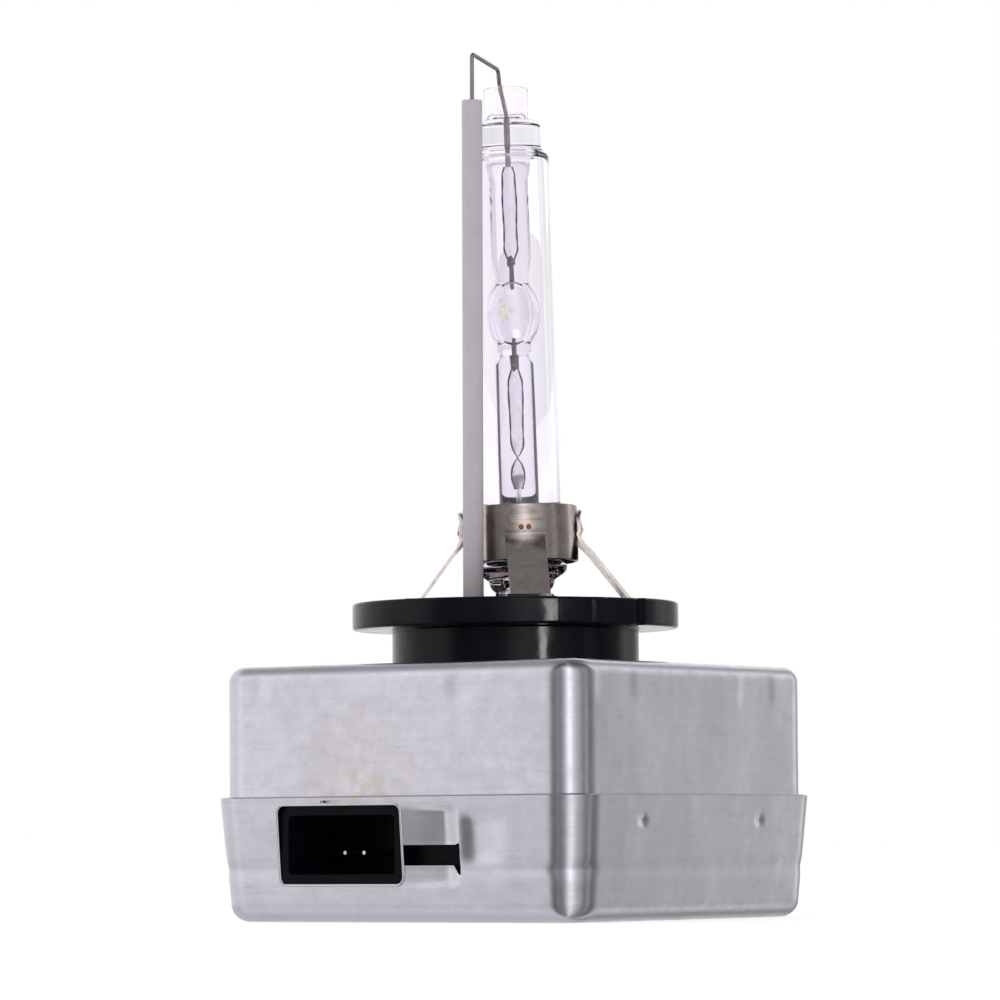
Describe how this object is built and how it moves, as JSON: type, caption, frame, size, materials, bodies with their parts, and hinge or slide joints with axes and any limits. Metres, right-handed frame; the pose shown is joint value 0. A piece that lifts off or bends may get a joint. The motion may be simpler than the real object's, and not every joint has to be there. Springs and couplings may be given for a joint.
{
  "type": "headlight bulb",
  "caption": "Gas-discharge headlight bulb: glass burner on a clamped base flange over a square metal igniter case with a side socket.",
  "frame": {"origin": "middle of the front face of the round locating flange, on the lamp axis", "axes": "+Z along the lamp axis towards the burner's tip; the case's sides lie along X and Y; the connector socket opens to -Y"},
  "size_m": [0.0424, 0.0424, 0.0825],
  "materials": {
    "clear_glass": "clear, gloss",
    "tungsten": "dull drawn",
    "molybdenum": "etched",
    "salts": "crystalline",
    "nickel_wire": "drawn",
    "ceramic": "sintered, matte",
    "stainless": "rolled, bright",
    "black_plastic": "moulded, gloss",
    "contact_brass": "tinned",
    "red_insulation": "extruded",
    "case_sheet": "deep drawn, scuffed",
    "board_laminate": "solder mask",
    "ferrite": "ground",
    "bobbin_plastic": "moulded",
    "copper_winding": "enamelled wire",
    "capacitor_case": "moulded",
    "resistor_body": "lacquered",
    "silicone": "cast"
  },
  "bodies": {
    "root": {"outer_bulb": "clear_glass", "arc_tube": "clear_glass", "upper_electrode": "tungsten", "lower_electrode": "tungsten", "electrode_coil": "tungsten", "upper_foil": "molybdenum", "lower_foil": "molybdenum", "lower_lead": "molybdenum", "halide_salts": "salts", "return_lead": "nickel_wire", "ceramic_tube": "ceramic", "clamp_band": "stainless", "clamp_spring": "stainless", "support_legs": "stainless", "base_flange": "black_plastic", "igniter_housing": "black_plastic", "hv_insulator": "ceramic", "hv_contact": "contact_brass", "hv_lead": "red_insulation", "upper_can": "case_sheet", "lower_cover": "case_sheet", "connector_pins": "contact_brass", "circuit_board": "board_laminate", "transformer_core": "ferrite", "transformer_bobbin": "bobbin_plastic", "secondary_winding": "copper_winding", "primary_winding": "copper_winding", "spark_gap": "ceramic", "spark_gap_caps": "stainless", "storage_capacitor": "capacitor_case", "bleed_resistors": "resistor_body", "return_terminal": "contact_brass", "ground_tab": "stainless", "potting_compound": "silicone"}
  },
  "joints": []
}
